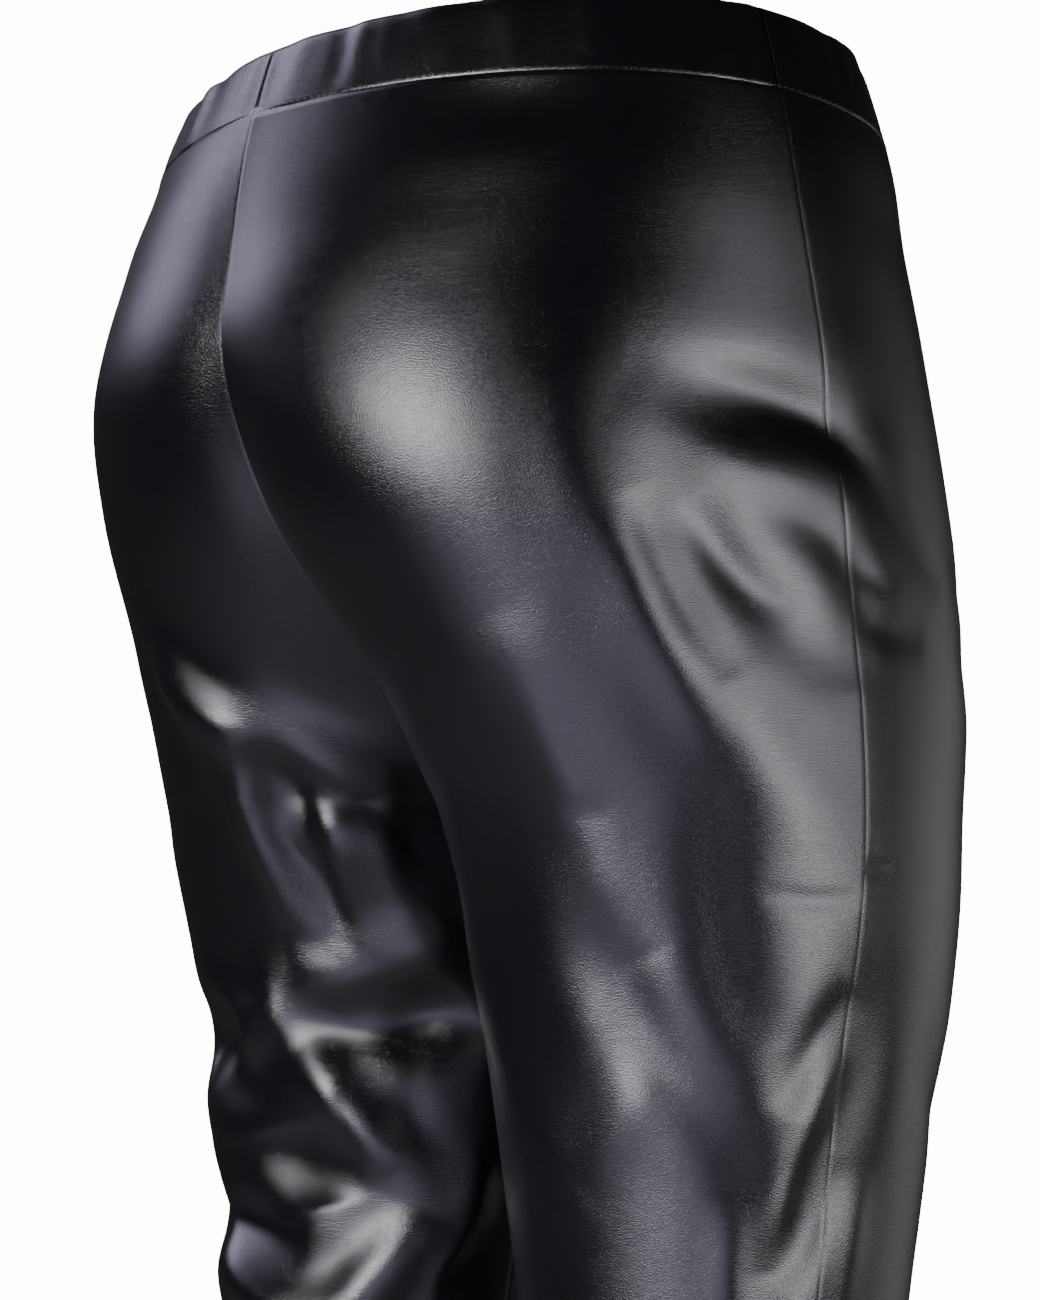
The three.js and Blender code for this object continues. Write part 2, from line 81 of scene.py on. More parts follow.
# The creases of each leg. A crease runs through its points, given as (across, down): across is measured
# over the cloth from the outseam, above zero on the back panel and below zero on the front one, and down
# is measured down the outseam from the casing. width is how far the crease spreads to each side of its
# line, height how far it stands up (below zero: sinks in), and crisp runs from 0, a soft swell, to 1, a
# sharp fold.
CREASES = [
    # leg, points, width, height, crisp
    # right leg: the fold that comes over the outseam under the hip, and the lip below it
    ("right", [(75, 95), (40, 105), (0, 120), (-30, 150), (-50, 170)], 10, -2.2, 0.1),
    ("right", [(80, 110), (45, 130), (0, 145)], 11, 1.4, 0.1),
    # the short folds on the outer thigh
    ("right", [(80, 140), (65, 180), (50, 205)], 7, -2.0, 0.1),
    ("right", [(90, 145), (75, 190), (55, 230)], 8, 1.2, 0.1),
    ("right", [(60, 145), (40, 175), (25, 185)], 7, -1.4, 0.1),
    ("right", [(40, 145), (5, 160), (0, 210)], 10, -1.6, 0.1),
    # puckers at the outseam
    ("right", [(0, 165), (-20, 175)], 5, -0.7, 0.1),
    ("right", [(0, 185), (-35, 190)], 8, -1.2, 0.1),
    ("right", [(0, 270), (-15, 270)], 4, -0.7, 0.2),
    ("right", [(40, 278), (20, 281), (0, 280)], 4, -0.8, 0.2),
    # the long edge down the back of the thigh, and its notch
    ("right", [(130, 175), (110, 235), (80, 300)], 13, 1.6, 0.3),
    ("right", [(110, 250), (90, 252)], 6, -0.6, 0.1),
    # the hollow and the ridges above the knee
    ("right", [(60, 240), (50, 290), (35, 335)], 12, -2.0, 0.1),
    ("right", [(75, 300), (55, 340), (25, 378)], 12, 2.0, 0.1),
    ("right", [(0, 310), (15, 335), (20, 355)], 9, -2.6, 0.2),
    ("right", [(0, 330), (15, 370), (20, 410)], 8, 2.2, 0.2),
    ("right", [(-5, 370), (5, 395), (15, 415)], 9, -1.8, 0.2),
    ("right", [(35, 380), (30, 440)], 8, 1.4, 0.2),
    ("right", [(65, 340), (90, 380)], 12, 1.2, 0.1),
    ("right", [(-15, 375), (-10, 435)], 7, 1.6, 0.2),
    # right leg, front, inside and below the knee
    ("right", [(-60, 150), (-120, 175), (-190, 190)], 14, -1.6, 0.2),
    ("right", [(-230, 150), (-180, 190), (-120, 230)], 13, -1.8, 0.2),
    ("right", [(-215, 215), (-160, 235), (-90, 250)], 12, 1.6, 0.2),
    ("right", [(-40, 330), (-90, 360), (-150, 365)], 13, -1.8, 0.2),
    ("right", [(-190, 330), (-140, 370), (-80, 410)], 15, 1.5, 0.1),
    ("right", [(30, 520), (90, 535), (150, 520)], 12, -2.4, 0.3),
    ("right", [(20, 560), (80, 556), (140, 570)], 12, 2.0, 0.2),
    ("right", [(40, 600), (100, 610), (150, 590)], 12, -2.0, 0.2),
    ("right", [(-40, 505), (-90, 520), (-150, 500)], 14, 1.6, 0.2),
    ("right", [(20, 830), (70, 845), (130, 835)], 12, -1.6, 0.2),
    ("right", [(-20, 880), (-70, 870), (-120, 885)], 11, -1.8, 0.2),
    ("right", [(10, 900), (70, 912), (120, 905)], 10, 1.6, 0.2),
    # left leg: the band under the seat and the ridge that falls from it
    ("left", [(150, 155), (180, 172), (205, 180), (225, 205)], 15, 6.0, 0.1),
    ("left", [(190, 170), (174, 210), (163, 260)], 9, 4.8, 0.1),
    # the double fold beside it, and the patch it frames
    ("left", [(198, 190), (190, 230), (178, 265)], 6, -1.8, 0.1),
    ("left", [(208, 200), (198, 232), (184, 265)], 7, 2.0, 0.1),
    ("left", [(180, 230), (220, 215)], 13, 4.0, 0.1),
    ("left", [(240, 185), (205, 250)], 6, 1.6, 0.3),
    # the lip and the deep fold across the back of the thigh
    ("left", [(155, 270), (190, 275), (225, 255)], 13, 4.0, 0.1),
    ("left", [(140, 290), (180, 295), (215, 285)], 13, -5.6, 0.1),
    # the dent at the outer thigh
    ("left", [(90, 270), (120, 290), (75, 320)], 8, 2.4, 0.3),
    ("left", [(80, 290), (65, 310)], 8, -2.6, 0.2),
    # the fan below the deep fold
    ("left", [(110, 305), (160, 320)], 16, 2.4, 0.1),
    ("left", [(145, 300), (170, 345)], 10, 2.0, 0),
    ("left", [(190, 300), (180, 340)], 8, -1.4, 0.1),
    # the fold that swings round above the back of the knee, with the hollow inside it
    ("left", [(70, 335), (75, 370), (105, 395), (140, 395), (170, 360)], 13, 5.6, 0.1),
    ("left", [(125, 330), (130, 360)], 20, -4.6, 0),
    ("left", [(205, 340), (180, 375), (165, 405)], 7, 2.6, 0.3),
    # left leg, front, outside and below the knee
    ("left", [(-30, 120), (-90, 150), (-170, 170)], 14, -1.8, 0.2),
    ("left", [(-225, 150), (-170, 200), (-100, 235)], 13, -2.0, 0.2),
    ("left", [(-200, 230), (-140, 240), (-60, 235)], 12, 1.8, 0.2),
    ("left", [(-20, 300), (-80, 335), (-150, 330)], 13, -2.2, 0.2),
    ("left", [(-180, 370), (-110, 395), (-30, 385)], 16, 2.0, 0.1),
    ("left", [(20, 150), (60, 170), (110, 165)], 12, -1.6, 0.2),
    ("left", [(10, 210), (50, 235), (90, 225)], 12, 1.4, 0.2),
    ("left", [(30, 505), (90, 520), (150, 505)], 12, -2.6, 0.3),
    ("left", [(20, 545), (80, 540), (140, 555)], 12, 2.2, 0.2),
    ("left", [(40, 590), (100, 600), (150, 575)], 12, -2.2, 0.2),
    ("left", [(-40, 490), (-90, 505), (-150, 490)], 14, 1.8, 0.2),
    ("left", [(20, 815), (70, 828), (130, 815)], 12, -1.8, 0.2),
    ("left", [(-20, 850), (-70, 862), (-120, 850)], 12, -1.8, 0.2),
    ("left", [(10, 880), (70, 890), (120, 875)], 10, 1.8, 0.2),
]

CREASE_STEP = 4 * MM     # a curved crease is followed in steps of this length
CREASE_MARGIN = 4        # a crease is felt this many widths away
POINT_SHARE = 0.12       # how rounded a sharp fold's tip is, as a share of its width
LEAST_POINT = 0.9 * MM   # and at least this much
SHARP_REACH = 0.55       # how far a sharp fold spreads, as a share of its width
CREASE_FADE = 0.8        # how a crease dies away at its ends: lower is more sudden

NEUTRAL = (1, 1, 1)
VIOLET = (0.93, 0.86, 1.12)

# The studio's soft lights: azimuth (0 in front, 90 at the wearer's left, 180 behind), distance, height of the
# middle, width and height in metres, power in watts, the spread of its beam in degrees, and its colour.
SOFTBOXES = [
    # name, azimuth, distance, height, size, power, spread, colour
    ("seat_softbox", 181, 2.6, 0.02, (1.7, 0.80), 17, 70, NEUTRAL),
    ("side_softbox", 278, 2.4, -0.42, (2.3, 1.05), 12, 70, NEUTRAL),
    ("upper_side_softbox", 284, 2.4, 0.24, (2.2, 0.24), 0.25, 70, VIOLET),
    ("front_softbox", 350, 2.6, -0.40, (6.0, 1.3), 4.6, 80, NEUTRAL),
    ("left_softbox", 107, 3.0, 1.35, (1.1, 2.2), 4.4, 60, VIOLET),
    ("far_left_softbox", 70, 3.0, 1.35, (2.6, 2.4), 0.5, 60, VIOLET),
    ("low_softbox", 202, 0.95, -0.88, (1.15, 0.6), 2.0, 140, VIOLET),
    ("knee_softbox", 203, 1.2, -0.68, (1.15, 0.6), 0.9, 120, VIOLET),
]


LAMP_AIM = (0, 0, -0.3)
CAMERA_PLACE = (-2.396, 1.805, -0.297)
CAMERA_AIM = (0, 0, -0.195)
CAMERA_LENS = 232.6          # millimetres, on a sensor 36 wide
CAMERA_SHIFT = 0.0038
FLOOR_SIZE = 7
FLOOR_DROP = 0.002           # below the hems
FLOOR_GREY = 0.6
SURROUND_LIGHT = 0.01
BACKDROP_LIGHT = 14          # what the camera sees behind the trousers


# ---------------------------------------------------------------- cloth grids

SEAM_CELLS = np.array([0.4, 0.9, 1.6, 2.6]) * MM    # the fine rows and columns beside a seam or an edge
SEAM_ZONE = 4 * MM          # how far those reach
FAR_CELLS = 3               # cells are this many times longer below the part that shows most
HELD_BY_SEAM = 14 * MM      # creases die away this near the rise seam and the inseam
HELD_BY_CASING = 10 * MM    # and this near the casing
OUTSEAM_SHARE = 0.5         # the outseam's ridge, as a share of the rise seam's
OUTSEAM_RIDGE = 10 * MM     # how far from the outseam its ridge spreads
RISE_RIDGE = 11 * MM        # and from the rise seam
RISE_RIDGE_ENDS = 0.2       # how far down the rise seam's ridge begins to end
RISE_RIDGE_FADE = 0.06
ROLL_WIDTH = 0.7 * MM       # how wide a strip rolls in along a seam
TOP_TUCK = 0.3 * MM         # how far in a panel's top edge sits behind the casing
TOP_LEAN = 0.25             # and how fast it goes further in above the seam

def panel_skin(node):
    """The points of a panel's outside in rows from the casing to the hem, outseam first in each row."""
    bm = bmesh.new()
    bm.from_mesh(node.data)
    bmesh.ops.remove_doubles(bm, verts=bm.verts, dist=MERGE)
    bm.normal_update()
    bm.faces.ensure_lookup_table()
    outside = set()
    left = {f for f in bm.faces if min(e.calc_length() for e in f.edges) > WALL_EDGE}
    while left:
        patch, queue = set(), [left.pop()]
        while queue:
            face = queue.pop()
            patch.add(face)
            for edge in face.edges:
                for other in edge.link_faces:
                    if other in left and face.normal.angle(other.normal) < math.radians(SKIN_TURN):
                        left.discard(other)
                        queue.append(other)
        if sum(f.calc_area() for f in patch) > sum(f.calc_area() for f in outside):
            outside = patch
    apexes = {}
    uses = {}
    for face in outside:
        corners = [v.index for v in face.verts]
        for k, v in enumerate(corners):
            uses[v] = uses.get(v, 0) + 1
            edge = frozenset((corners[k], corners[k - 1]))
            apexes.setdefault(edge, []).append(corners[k - 2])
    bm.verts.ensure_lookup_table()
    place = {v: bm.verts[v].co.copy() for v in uses}
    rim = {}
    for edge, tips in apexes.items():
        if len(tips) == 1:
            a, b = edge
            rim.setdefault(a, []).append(b)
            rim.setdefault(b, []).append(a)
    corners = sorted((v for v in uses if uses[v] <= 2), key=lambda v: -place[v].z)[:2]
    first, last = sorted(corners, key=lambda v: -abs(place[v].x))
    row = None
    for second in rim[first]:
        path = [first, second]
        while uses[path[-1]] > 2:
            path.append(next(v for v in rim[path[-1]] if v != path[-2]))
        if path[-1] == last:
            row = path
    rows = [row]
    above = set()
    while True:
        used = set(above)
        tips = []
        for a, b in zip(row, row[1:]):
            tip = [v for v in apexes[frozenset((a, b))] if v not in used]
            tips.append(tip[0] if tip else None)
        if tips[0] is None:
            break
        start = [v for v in apexes[frozenset((row[0], tips[0]))] if v != row[1]]
        above = set(row)
        row = [start[0]] + tips
        rows.append(row)
    grid = np.array([[place[v] for v in line] for line in rows])
    bm.free()
    return grid


def spline(knots, values, at):
    """A smooth curve through values at knots, read at other places along them."""
    n = len(knots)
    step = np.diff(knots)
    flat = values.reshape(n, -1)
    slope = np.diff(flat, axis=0) / step[:, None]
    system = np.zeros((n, n))
    right = np.zeros_like(flat)
    system[0, 0] = system[-1, -1] = 1
    for k in range(1, n - 1):
        system[k, k - 1:k + 2] = step[k - 1], 2 * (step[k - 1] + step[k]), step[k]
        right[k] = 6 * (slope[k] - slope[k - 1])
    bend = np.linalg.solve(system, right)
    cell = np.clip(np.searchsorted(knots, at, side="right") - 1, 0, n - 2)
    h = step[cell][:, None]
    a = (knots[cell + 1] - at)[:, None] / h
    b = 1 - a
    out = a * flat[cell] + b * flat[cell + 1]
    out += ((a ** 3 - a) * bend[cell] + (b ** 3 - b) * bend[cell + 1]) * h ** 2 / 6
    return out.reshape((len(at),) + values.shape[1:])


def lengths(points, axis):
    """Distance along a line of points, from its first one."""
    steps = np.linalg.norm(np.diff(points, axis=axis), axis=-1)
    zero = np.zeros_like(np.take(steps, [0], axis=axis))
    return np.concatenate([zero, np.cumsum(steps, axis=axis)], axis=axis)


def even_steps(start, end, cell):
    """Places from start to end, about one cell apart."""
    return np.linspace(start, end, max(2, int(round(abs(end - start) / cell)) + 1))


def normals(points):
    """Outward unit normals of a grid of points that goes round a leg."""
    down = np.gradient(points, axis=0)
    across = np.gradient(points, axis=1)
    out = np.cross(across, down)
    out /= np.linalg.norm(out, axis=2, keepdims=True) + 1e-12
    middle = points.mean(axis=1, keepdims=True)
    if ((points - middle) * out).sum() < 0:
        out = -out
    return out


def smoother(points, turns):
    """Evens out small unevenness in a grid, with its edges held."""
    out = points.copy()
    for _ in range(turns):
        inner = out[1:-1, 1:-1]
        mean = (out[:-2, 1:-1] + out[2:, 1:-1] + out[1:-1, :-2] + out[1:-1, 2:]) / 4
        out[1:-1, 1:-1] = inner + 0.6 * (mean - inner)
    return out


def nearest_on(line, across, down):
    """How far each place is from a line, and how far along it, from 0 to 1, the nearest point lies."""
    along = lengths(line, 0)
    nearest = np.full(across.shape, 1e9)
    share = np.zeros_like(across)
    for k in range(len(line) - 1):
        run = line[k + 1] - line[k]
        t = np.clip(((across - line[k, 0]) * run[0] + (down - line[k, 1]) * run[1]) / (run @ run), 0, 1)
        away = np.hypot(across - line[k, 0] - t * run[0], down - line[k, 1] - t * run[1])
        closer = away < nearest
        nearest = np.where(closer, away, nearest)
        share = np.where(closer, (along[k] + t * (along[k + 1] - along[k])) / along[-1], share)
    return nearest, share


def crease_height(leg, across, down):
    """How far the creases raise or sink one leg's cloth, over a grid, in metres."""
    height = np.zeros_like(across)
    for name, points, width, rise, crisp in CREASES:
        if name != leg:
            continue
        line = np.array(points, dtype=float) * MM
        if len(line) > 2:
            along = lengths(line, 0)
            line = spline(along, line, even_steps(0, along[-1], CREASE_STEP))
        reach = width * MM
        margin = CREASE_MARGIN * reach
        near = ((across > line[:, 0].min() - margin) & (across < line[:, 0].max() + margin)
                & (down > line[:, 1].min() - margin) & (down < line[:, 1].max() + margin))
        if not near.any():
            continue
        nearest, share = nearest_on(line, across[near], down[near])
        soft = np.exp(-(nearest / reach) ** 2)
        point = max(POINT_SHARE * reach, LEAST_POINT)
        sharp = np.exp(-(np.sqrt(nearest ** 2 + point ** 2) - point) / (SHARP_REACH * reach))
        profile = (1 - crisp) * soft + crisp * sharp
        fade = np.sin(np.pi * np.clip(share, 0.0, 1.0)) ** CREASE_FADE
        height[near] += rise * MM * profile * fade
    return height


def ease(share):
    """0 at 0 and below, 1 at 1 and above, and smooth between."""
    share = np.clip(share, 0, 1)
    return share * share * (3 - 2 * share)


def leg_cloth(leg, sizes):
    """One leg's cloth as a fine grid from the front inner edge round the outseam to the back inner edge."""
    back = panel_skin(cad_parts["panel_back_" + leg])
    front = panel_skin(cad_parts["panel_front_" + leg])
    outseam = (back[:, :1] + front[:, :1]) / 2
    inseam = (back[:, -1] + front[:, -1]) / 2
    crotch = int(np.argmax(abs(inseam[:, 0]) > 0.5 * MM))
    for panel in (back, front):
        panel[:crotch, -1, 0] = 0
        panel[crotch:, -1] = inseam[crotch:]
    coarse = np.concatenate([front[:, :0:-1], outseam, back[:, 1:]], axis=1)
    top_way = coarse[1] - coarse[0]
    coarse[0] -= SEAM_GAP / 2 * top_way / np.linalg.norm(top_way, axis=1, keepdims=True)
    seam = front.shape[1] - 1
    columns = lengths(coarse, 1).mean(axis=0)
    columns -= columns[seam]
    rows = lengths(coarse[:, seam:seam + 1], 0)[:, 0]
    edge = SEAM_CELLS
    cell = sizes.cell
    fronts = even_steps(columns[0] + SEAM_ZONE, -SEAM_ZONE, cell)
    backs = even_steps(SEAM_ZONE, columns[-1] - SEAM_ZONE, cell)
    at_columns = np.concatenate([[columns[0]], columns[0] + edge, fronts, -edge[::-1], [0], edge,
                                 backs, columns[-1] - edge[::-1], [columns[-1]]])
    shown = min(sizes.close_rows, rows[-1])
    at_rows = np.concatenate([[-TUCK, -TUCK / 2, 0], edge, even_steps(SEAM_ZONE, shown, cell),
                              even_steps(shown, rows[-1] - SEAM_ZONE, FAR_CELLS * cell)[1:], [rows[-1]]])
    fine = spline(rows, coarse, at_rows)
    fine = spline(columns, fine.transpose(1, 0, 2), at_columns).transpose(1, 0, 2)
    seam_column = int(np.argmin(abs(at_columns)))
    fine = smoother(fine, sizes.smoothing)
    across = lengths(fine, 1)
    across -= across[:, seam_column:seam_column + 1]
    down = np.repeat(lengths(fine[:, seam_column:seam_column + 1], 0), across.shape[1], axis=1) - TUCK
    out = normals(fine)
    inner_edge = np.minimum(across - across[:, :1], across[:, -1:] - across)
    held = ease(inner_edge / HELD_BY_SEAM)
    top = ease(down / HELD_BY_CASING)
    height = crease_height(leg, across, down) * held * top
    height += OUTSEAM_SHARE * sizes.seam_ridge * np.exp(-abs(across) / OUTSEAM_RIDGE)
    rise_only = np.clip(1 - (down - RISE_RIDGE_ENDS) / RISE_RIDGE_FADE, 0, 1)
    height += sizes.seam_ridge * np.exp(-inner_edge / RISE_RIDGE) * rise_only
    fine = fine + out * height[:, :, None]
    return {"points": fine, "across": across, "down": down, "seam": seam_column}


def closed_shell(name, outer, inner, uv):
    """A closed wall between an outer and an inner grid of points, its faces pointing outwards."""
    rows, columns = outer.shape[:2]
    count = rows * columns
    index = np.arange(count).reshape(rows, columns)
    a, b, c, d = index[:-1, :-1], index[:-1, 1:], index[1:, 1:], index[1:, :-1]
    face_out = np.stack([a, b, c, d], axis=-1).reshape(-1, 4)
    face_in = np.stack([a, d, c, b], axis=-1).reshape(-1, 4) + count

    def rim(line):
        return np.stack([line[1:], line[:-1], line[:-1] + count, line[1:] + count], axis=-1)

    rims = [rim(index[0]), rim(index[-1][::-1]), rim(index[::-1, 0]), rim(index[:, -1])]
    faces = np.concatenate([face_out, face_in] + rims)
    middle_row, middle_column = rows // 2, columns // 2
    corner = outer[middle_row, middle_column]
    beside = outer[middle_row, middle_column + 1] - corner
    below = outer[middle_row + 1, middle_column] - corner
    way = np.cross(beside, below)
    if way @ (corner - inner[middle_row, middle_column]) < 0:
        faces = faces[:, ::-1]
    mesh = bpy.data.meshes.new(name)
    corners = np.concatenate([outer.reshape(-1, 3), inner.reshape(-1, 3)])
    mesh.from_pydata(corners.tolist(), [], faces.tolist())
    layer = mesh.uv_layers.new(name="cloth")
    places = np.concatenate([uv.reshape(-1, 2)] * 2)
    loops = np.empty(len(mesh.loops), dtype=np.int32)
    mesh.loops.foreach_get("vertex_index", loops)
    layer.data.foreach_set("uv", places[loops].astype(np.float32).ravel())
    piece = bpy.data.objects.new(name, mesh)
    bpy.context.collection.objects.link(piece)
    select_only(piece)
    bpy.ops.object.shade_smooth_by_angle(angle=math.radians(SMOOTH_ANGLE))
    return piece


def select_only(piece):
    """Selects one piece and makes it the active one."""
    bpy.ops.object.select_all(action="DESELECT")
    piece.select_set(True)
    bpy.context.view_layer.objects.active = piece


# ---------------------------------------------------------------- materials

GLOSS_CHANGE = 0.04      # how much the slub changes the satin's roughness
SLUB_DEPTH = 0.06 * MM
GRAIN_DEPTH = 0.32 * MM


def link(tree, source, target):
    """Joins two sockets of a node tree."""
    tree.links.new(source, target)


def satin(name, finish):
    """Dark satin with a fine weave, a soft gloss and a faint slub, on the cloth's own UV in metres."""
    material = bpy.data.materials.new(name)
    material.use_nodes = True
    tree = material.node_tree
    shader = tree.nodes["Principled BSDF"]
    cloth = tree.nodes.new("ShaderNodeUVMap")
    cloth.uv_map = "cloth"

    def mapped(scale):
        mapping = tree.nodes.new("ShaderNodeMapping")
        mapping.inputs["Scale"].default_value = scale
        link(tree, cloth.outputs["UV"], mapping.inputs["Vector"])
        return mapping.outputs["Vector"]

    def noise(vector, scale, detail, rough=0.55):
        node = tree.nodes.new("ShaderNodeTexNoise")
        node.inputs["Scale"].default_value = scale
        node.inputs["Detail"].default_value = detail
        node.inputs["Roughness"].default_value = rough
        link(tree, vector, node.inputs["Vector"])
        return node.outputs["Fac"]

    def bump(height, strength, distance, normal=None):
        node = tree.nodes.new("ShaderNodeBump")
        node.inputs["Strength"].default_value = strength
        node.inputs["Distance"].default_value = distance
        link(tree, height, node.inputs["Height"])
        if normal is not None:
            link(tree, normal, node.inputs["Normal"])
        return node.outputs["Normal"]

    grain = noise(mapped((1, 1, 1)), 1 / finish.grain_size, 2.0)
    slub = noise(mapped((0.25, 1, 1)), 1 / (4 * finish.grain_size), 3.0)
    shade = tree.nodes.new("ShaderNodeMapRange")
    shade.inputs["To Min"].default_value = finish.roughness - GLOSS_CHANGE
    shade.inputs["To Max"].default_value = finish.roughness + GLOSS_CHANGE
    link(tree, slub, shade.inputs["Value"])
    link(tree, shade.outputs["Result"], shader.inputs["Roughness"])
    tint = tree.nodes.new("ShaderNodeMix")
    tint.data_type = "RGBA"
    tint.inputs["A"].default_value = [c * 0.8 for c in finish.colour] + [1]
    tint.inputs["B"].default_value = [c * 1.25 for c in finish.colour] + [1]
    link(tree, grain, tint.inputs["Factor"])
    link(tree, tint.outputs["Result"], shader.inputs["Base Color"])
    coarse = bump(slub, finish.grain, SLUB_DEPTH)
    link(tree, bump(grain, finish.grain, GRAIN_DEPTH, coarse), shader.inputs["Normal"])
    shader.inputs["Specular IOR Level"].default_value = 0.6
    shader.inputs["Specular Tint"].default_value = (0.96, 0.94, 1.0, 1.0)
    shader.inputs["Sheen Weight"].default_value = 0.02
    return material


def thread(name, finish):
    """Black polyester thread, a little paler and shinier than the satin, with its twist."""
    material = bpy.data.materials.new(name)
    material.use_nodes = True
    tree = material.node_tree
    shader = tree.nodes["Principled BSDF"]
    place = tree.nodes.new("ShaderNodeTexCoord")
    twist = tree.nodes.new("ShaderNodeTexNoise")
    twist.inputs["Scale"].default_value = 2500
    link(tree, place.outputs["Object"], twist.inputs["Vector"])
    bump = tree.nodes.new("ShaderNodeBump")
    bump.inputs["Strength"].default_value = 0.3
    bump.inputs["Distance"].default_value = 0.00005
    link(tree, twist.outputs["Fac"], bump.inputs["Height"])
    link(tree, bump.outputs["Normal"], shader.inputs["Normal"])
    shader.inputs["Base Color"].default_value = [4 * c for c in finish.colour] + [1]
    shader.inputs["Roughness"].default_value = 0.35
    return material


# ---------------------------------------------------------------- settings

class TrousersSizes(bpy.types.PropertyGroup):
    cell: FloatProperty(name="Cell", description="Size of the cloth's mesh cells where it shows most",
                        default=0.002, unit="LENGTH", precision=4)
    close_rows: FloatProperty(name="Close rows to",
                              description="How far down from the casing the fine cells go",
                              default=0.46, unit="LENGTH")
    smoothing: IntProperty(name="Smoothing", description="How often the cloth's base form is evened out",
                           default=6)
    cloth: FloatProperty(name="Cloth", description="Thickness of one layer of satin",
                         default=0.001, unit="LENGTH", precision=4)
    casing_ripple: FloatProperty(name="Casing ripple",
                                 description="How deeply the elastic ripples the casing",
                                 default=0.0005, unit="LENGTH", precision=4)
    stitch_pitch: FloatProperty(name="Stitch pitch", description="Distance from one stitch to the next",
                                default=0.0032, unit="LENGTH", precision=4)
    stitch_length: FloatProperty(name="Stitch length", description="How long each stitch shows",
                                 default=0.002, unit="LENGTH", precision=4)
    thread: FloatProperty(name="Thread", description="Thickness of the sewing thread", default=0.00035,
                          unit="LENGTH", precision=5)
    seam_ridge: FloatProperty(name="Seam ridge",
                              description="How far the seam allowances lift the cloth at a seam",
                              default=0.0009, unit="LENGTH", precision=4)
    seam_roll: FloatProperty(name="Seam roll", description="How far the cloth's edge rolls in at a seam",
                             default=0.0002, unit="LENGTH", precision=4)


class SatinFinish(bpy.types.PropertyGroup):
    colour: FloatVectorProperty(name="Colour", description="The satin's own colour", subtype="COLOR",
                                default=(0.0025, 0.0025, 0.0036), min=0, max=1)
    roughness: FloatProperty(name="Roughness", description="How soft the satin's gloss is", default=0.2,
                             subtype="FACTOR", min=0, max=1)
    grain: FloatProperty(name="Grain", description="How strongly the weave shows", default=0.5,
                         subtype="FACTOR", min=0, max=1)
    grain_size: FloatProperty(name="Grain size", description="Spacing of the weave's grain", default=0.00055,
                              unit="LENGTH", precision=4)


# ---------------------------------------------------------------- operators

class TROUSERS_OT_leg_panels(bpy.types.Operator):
    """Makes the four leg panels: two backs and two fronts, sewn edge to edge"""
    bl_idname = "trousers.leg_panels"
    bl_label = "Leg panels"

    def execute(self, context):
        sizes = context.scene.trousers_sizes
        material = satin("black_satin", context.scene.satin_finish)
        for leg in HALVES:
            cloth = leg_cloth(leg, sizes)
            for face in FACES:
                panel = make_panel(leg, face, cloth, sizes)
                panel.data.materials.append(material)
                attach(panel, "root")
                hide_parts(f"panel_{face}_{leg}")
        return {"FINISHED"}


def make_panel(leg, face, cloth, sizes):
    """One panel of a leg, as a thin wall of satin with its edges rolled in at the seams."""
    seam = cloth["seam"]
    part = slice(seam, None) if face == "back" else slice(None, seam + 1)
    points = cloth["points"][:, part].copy()
    across, down = abs(cloth["across"][:, part]), cloth["down"][:, part]
    out = normals(cloth["points"])[:, part]
    inner = abs(across.max(axis=1, keepdims=True) - across)
    roll = sizes.seam_roll * np.exp(-(np.minimum(across, inner) / ROLL_WIDTH) ** 2)
    roll += np.where(down < 0.5 * MM, TOP_TUCK - TOP_LEAN * np.minimum(down, 0), 0)
    points -= out * roll[:, :, None]
    wrong_side = points - out * sizes.cloth
    uv = np.stack([cloth["across"][:, part], down], axis=-1)
    return closed_shell(f"leg_panel_{face}_{leg}", points, wrong_side, uv)


def casing_rings(node):
    """Where the casing starts, how it rises and which way is out, from the outseam to the middle."""
    bm = bmesh.new()
    bm.from_mesh(node.data)
    bmesh.ops.remove_doubles(bm, verts=bm.verts, dist=MERGE)
    points = np.array([v.co for v in bm.verts])
    bm.free()
    points = points[np.argsort(abs(np.arctan2(points[:, 1], abs(points[:, 0]))))]
    feet, rises, outs = [], [], []
    for ring in points.reshape(-1, CASING_POINTS, 3):
        ring = ring[np.argsort(ring[:, 2])]
        low = sorted(ring[:2], key=lambda p: -math.hypot(p[0], p[1]))
        out = low[0] - low[1]
        out /= np.linalg.norm(out)
        feet.append(low[0])
        rises.append(ring[-1] - low[0] + out * TOP_FOLD)
        outs.append(out)
    return np.array(feet), np.array(rises), np.array(outs)


# Round the casing's section, from its seam with the panels to its top edge: how far up its height, how far
# out from its face (millimetres), and how much of the ripple shows there.
CASING_OUTSIDE = [
    # up, out, ripple
    (0.0, -0.35, 0.0), (0.012, -0.15, 0.05), (0.03, -0.02, 0.1), (0.06, 0.03, 0.15), (0.12, 0.06, 0.3),
    (0.2, 0.1, 0.5), (0.3, 0.16, 0.75), (0.42, 0.2, 0.95), (0.54, 0.2, 1.0), (0.66, 0.17, 1.0),
    (0.77, 0.1, 1.0), (0.86, 0.0, 1.0), (0.92, -0.15, 1.0), (0.955, -0.4, 1.0), (0.985, -0.85, 1.0),
    (1.0, -1.45, 1.0),
]
CASING_INSIDE = [
    # up, out, ripple
    (0.0, -2.0, 0.0), (0.03, -2.2, 0.1), (0.1, -2.5, 0.3), (0.2, -2.8, 0.6), (0.35, -3.0, 0.8),
    (0.5, -3.1, 0.9), (0.65, -3.15, 1.0), (0.78, -3.1, 1.0), (0.88, -3.0, 1.0), (0.94, -2.8, 1.0),
    (0.97, -2.5, 1.0), (0.99, -2.1, 1.0), (1.0, -1.6, 1.0),
]
CASING_END_CELLS = np.array([0.3, 0.7, 1.2, 2.0]) * MM
